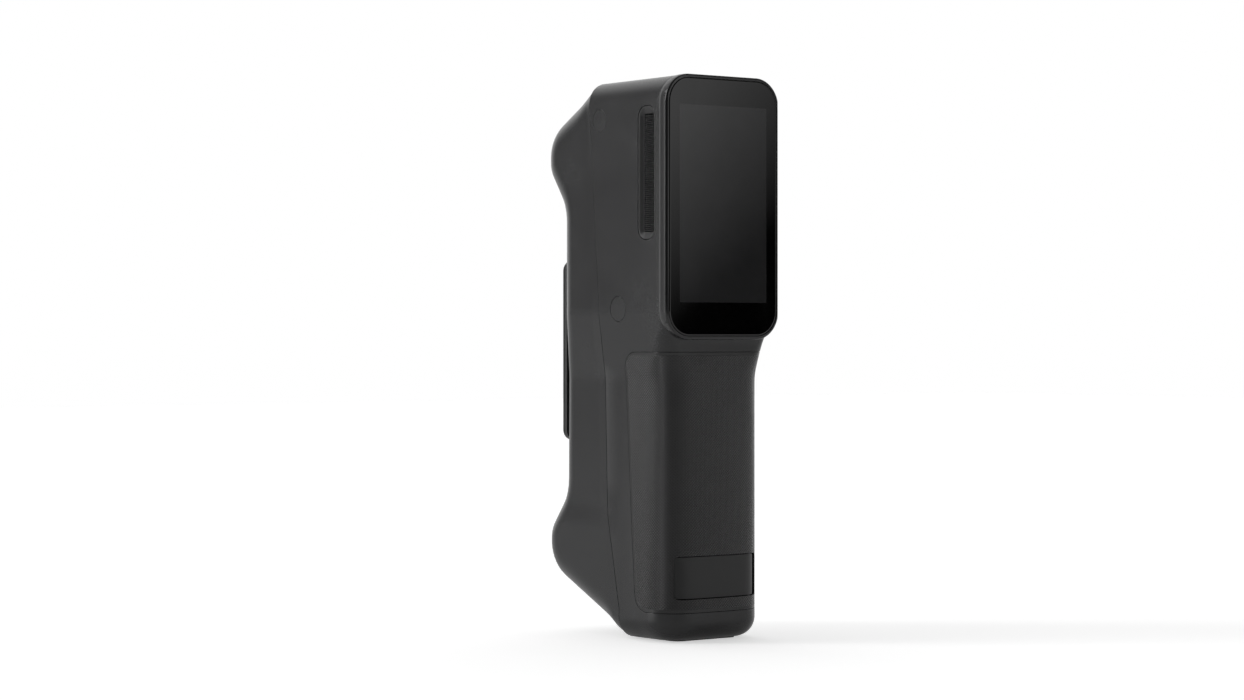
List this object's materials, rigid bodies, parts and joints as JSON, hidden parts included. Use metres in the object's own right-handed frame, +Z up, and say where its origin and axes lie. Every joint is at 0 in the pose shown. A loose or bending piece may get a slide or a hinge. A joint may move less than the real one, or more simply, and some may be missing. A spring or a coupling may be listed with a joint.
{
  "type": "handheld three-d scanner",
  "caption": "Upright handheld three-d scanner: stereo lens lobes on a tall front, touch screen on the back of the head, textured grip with a hinged port cover.",
  "frame": {"origin": "centre of the bounding box at the base, on the surface that the scanner stands on", "axes": "+Z up along the grip, -Y the way the lenses look, +Y the way the screen faces, +X the side with the scan button"},
  "size_m": [0.065, 0.101, 0.255],
  "materials": {
    "housing": "fine satin",
    "grip_rubber": "knurled",
    "screen_glass": "polished",
    "display": "dark",
    "bare_aluminium": "machined",
    "ribbon": "film",
    "trim": "satin",
    "button": "satin",
    "circuit_board": "solder mask",
    "cover_plastic": "smooth",
    "steel": "plated",
    "plug": "matte",
    "window_glass": "polished",
    "lens_glass": "coated",
    "module_plastic": "moulded",
    "lamp": "clear domes on a white board",
    "cell_sleeve": "shrink sleeve",
    "brass": "machined",
    "pad_rubber": "matte"
  },
  "bodies": {
    "scanner_body": {"rear_housing": "housing", "front_cover": "housing", "grip_sleeve": "grip_rubber", "touch_glass": "screen_glass", "display_panel": "display", "display_frame": "bare_aluminium", "display_ribbon": "ribbon", "vent_insert_left": "trim", "vent_insert_right": "trim", "button_switch": "circuit_board", "hinge_pin": "steel", "screw_plugs": "plug", "cover_screws": "steel", "window_frame": "trim", "window_glass": "window_glass", "upper_lens_ring": "trim", "lower_lens_ring": "trim", "upper_lens_glass": "lens_glass", "lower_lens_glass": "lens_glass", "upper_camera": "module_plastic", "lower_camera": "module_plastic", "optical_bench": "bare_aluminium", "bench_screws": "steel", "projector": "module_plastic", "colour_camera": "module_plastic", "fill_lights": "lamp", "main_board": "circuit_board", "board_screws": "steel", "heat_sink": "bare_aluminium", "fan_frame": "module_plastic", "battery_cells": "cell_sleeve", "battery_cradle": "module_plastic", "charge_board": "circuit_board", "port_sockets": "steel", "tripod_insert": "brass", "base_pad": "pad_rubber"},
    "scan_button": {"scan_button": "button"},
    "port_cover": {"port_cover": "cover_plastic"},
    "fan_rotor": {"fan_rotor": "module_plastic"}
  },
  "joints": [
    {"name": "scan_button_push", "type": "slide", "parent": "scanner_body", "child": "scan_button", "axis": [-1, 0, 0], "range_m": [0, 0.0008], "stiffness_N_per_m": 1200, "springref_m": -0.0006},
    {"name": "port_cover_hinge", "type": "hinge", "parent": "scanner_body", "child": "port_cover", "pos_m": [-0.02105, 0.04201, 0.0291], "axis": [0, 0, 1], "range_deg": [0, 90]},
    {"name": "fan_spin", "type": "hinge", "parent": "scanner_body", "child": "fan_rotor", "pos_m": [0, 0.038, 0.211], "axis": [0, 1, 0], "continuous": true}
  ]
}
